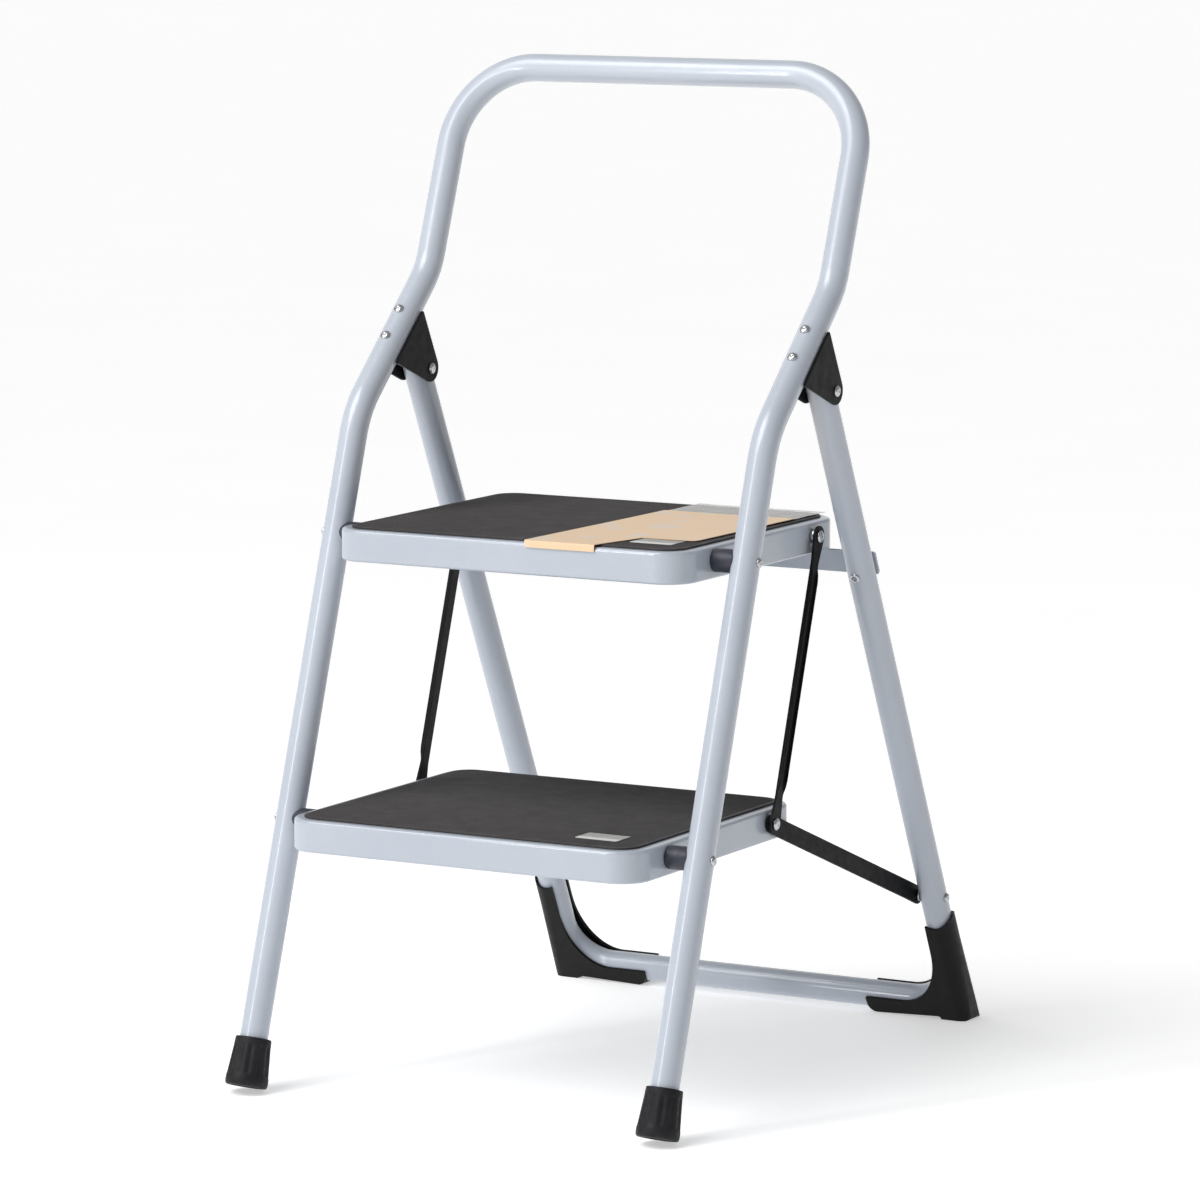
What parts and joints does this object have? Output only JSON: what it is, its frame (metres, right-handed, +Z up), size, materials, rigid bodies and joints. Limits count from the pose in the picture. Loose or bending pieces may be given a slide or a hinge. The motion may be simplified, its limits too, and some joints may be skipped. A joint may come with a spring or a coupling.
{
  "type": "folding step stool",
  "caption": "Folding step stool with a bent tube hoop frame, hinged rear frame and flat treads with ribbed mats, tied by flat links so that everything folds together.",
  "frame": {"origin": "middle of the footprint, on the floor", "axes": "+X across the stool to its right, +Y from the front legs to the rear frame, +Z up"},
  "size_m": [0.448, 0.6242, 0.8929],
  "materials": {
    "paint": "satin powder coat",
    "black_steel": "satin black",
    "foot_plastic": "moulded, fine grain",
    "foot_rubber": "moulded rubber, ribbed",
    "rivet": "zinc plated",
    "spacer": "moulded",
    "tread_mat": "ribbed, matte",
    "label": "silver foil, plain",
    "card": "plain printed card",
    "film": "clear film"
  },
  "bodies": {
    "front_frame": {"front_frame_tube": "paint", "front_foot_left": "foot_rubber", "front_foot_right": "foot_rubber", "hinge_bracket_left": "black_steel", "hinge_bracket_right": "black_steel", "hinge_pin_left": "rivet", "hinge_pin_right": "rivet", "bracket_rivet_lower_left": "rivet", "bracket_rivet_lower_right": "rivet", "bracket_rivet_upper_left": "rivet", "bracket_rivet_upper_right": "rivet", "upper_step_rivet_left": "rivet", "upper_step_rivet_right": "rivet", "lower_step_rivet_left": "rivet", "lower_step_rivet_right": "rivet", "upper_step_spacer_left": "spacer", "upper_step_spacer_right": "spacer", "lower_step_spacer_left": "spacer", "lower_step_spacer_right": "spacer"},
    "rear_frame": {"rear_frame_tube": "paint", "rear_crossbar": "paint", "rear_foot_left": "foot_plastic", "rear_foot_right": "foot_plastic", "crossbar_rivet_left": "rivet", "crossbar_rivet_right": "rivet", "lower_link_leg_rivet_left": "rivet", "lower_link_leg_rivet_right": "rivet"},
    "upper_step": {"upper_step_tray": "paint", "upper_step_mat": "tread_mat", "upper_step_label": "label", "retail_card": "card", "retail_card_film": "film", "upper_link_rivet_left": "rivet", "upper_link_rivet_right": "rivet"},
    "lower_step": {"lower_step_tray": "paint", "lower_step_mat": "tread_mat", "lower_step_label": "label", "lower_link_rivet_left": "rivet", "lower_link_rivet_right": "rivet"},
    "left_drop_link": {"drop_link_left": "black_steel"},
    "left_lower_link": {"lower_link_left": "black_steel", "lower_link_stub_left": "rivet"},
    "right_drop_link": {"drop_link_right": "black_steel"},
    "right_lower_link": {"lower_link_right": "black_steel", "lower_link_stub_right": "rivet"}
  },
  "joints": [
    {"name": "upper_step_fold", "type": "hinge", "parent": "front_frame", "child": "upper_step", "pos_m": [0, -0.13735, 0.477], "axis": [1, 0, 0], "range_deg": [0, 62]},
    {"name": "lower_step_fold", "type": "hinge", "parent": "front_frame", "child": "lower_step", "pos_m": [0, -0.21918, 0.232], "axis": [1, 0, 0], "range_deg": [0, 62]},
    {"name": "rear_frame_fold", "type": "hinge", "parent": "front_frame", "child": "rear_frame", "pos_m": [0, 0.00155, 0.6119], "axis": [-1, 0, 0], "range_deg": [0, 47.02]},
    {"name": "left_drop_link_pivot", "type": "hinge", "parent": "upper_step", "child": "left_drop_link", "pos_m": [0, 0.04565, 0.477], "axis": [-1, 0, 0], "range_deg": [0, 62]},
    {"name": "left_lower_link_pivot", "type": "hinge", "parent": "lower_step", "child": "left_lower_link", "pos_m": [0, -0.03617, 0.232], "axis": [-1, 0, 0], "range_deg": [0, 142.72]},
    {"name": "right_drop_link_pivot", "type": "hinge", "parent": "upper_step", "child": "right_drop_link", "pos_m": [0, 0.04565, 0.477], "axis": [-1, 0, 0], "range_deg": [0, 62]},
    {"name": "right_lower_link_pivot", "type": "hinge", "parent": "lower_step", "child": "right_lower_link", "pos_m": [0, -0.03617, 0.232], "axis": [-1, 0, 0], "range_deg": [0, 142.72]}
  ],
  "couplings": [
    {"joint": "lower_step_fold", "follows": "upper_step_fold", "ratio": 1},
    {"joint": "rear_frame_fold", "follows": "upper_step_fold", "ratio": 0.7583},
    {"joint": "left_drop_link_pivot", "follows": "upper_step_fold", "ratio": 1},
    {"joint": "left_lower_link_pivot", "follows": "upper_step_fold", "ratio": 2.3018},
    {"joint": "right_drop_link_pivot", "follows": "upper_step_fold", "ratio": 1},
    {"joint": "right_lower_link_pivot", "follows": "upper_step_fold", "ratio": 2.3018}
  ]
}
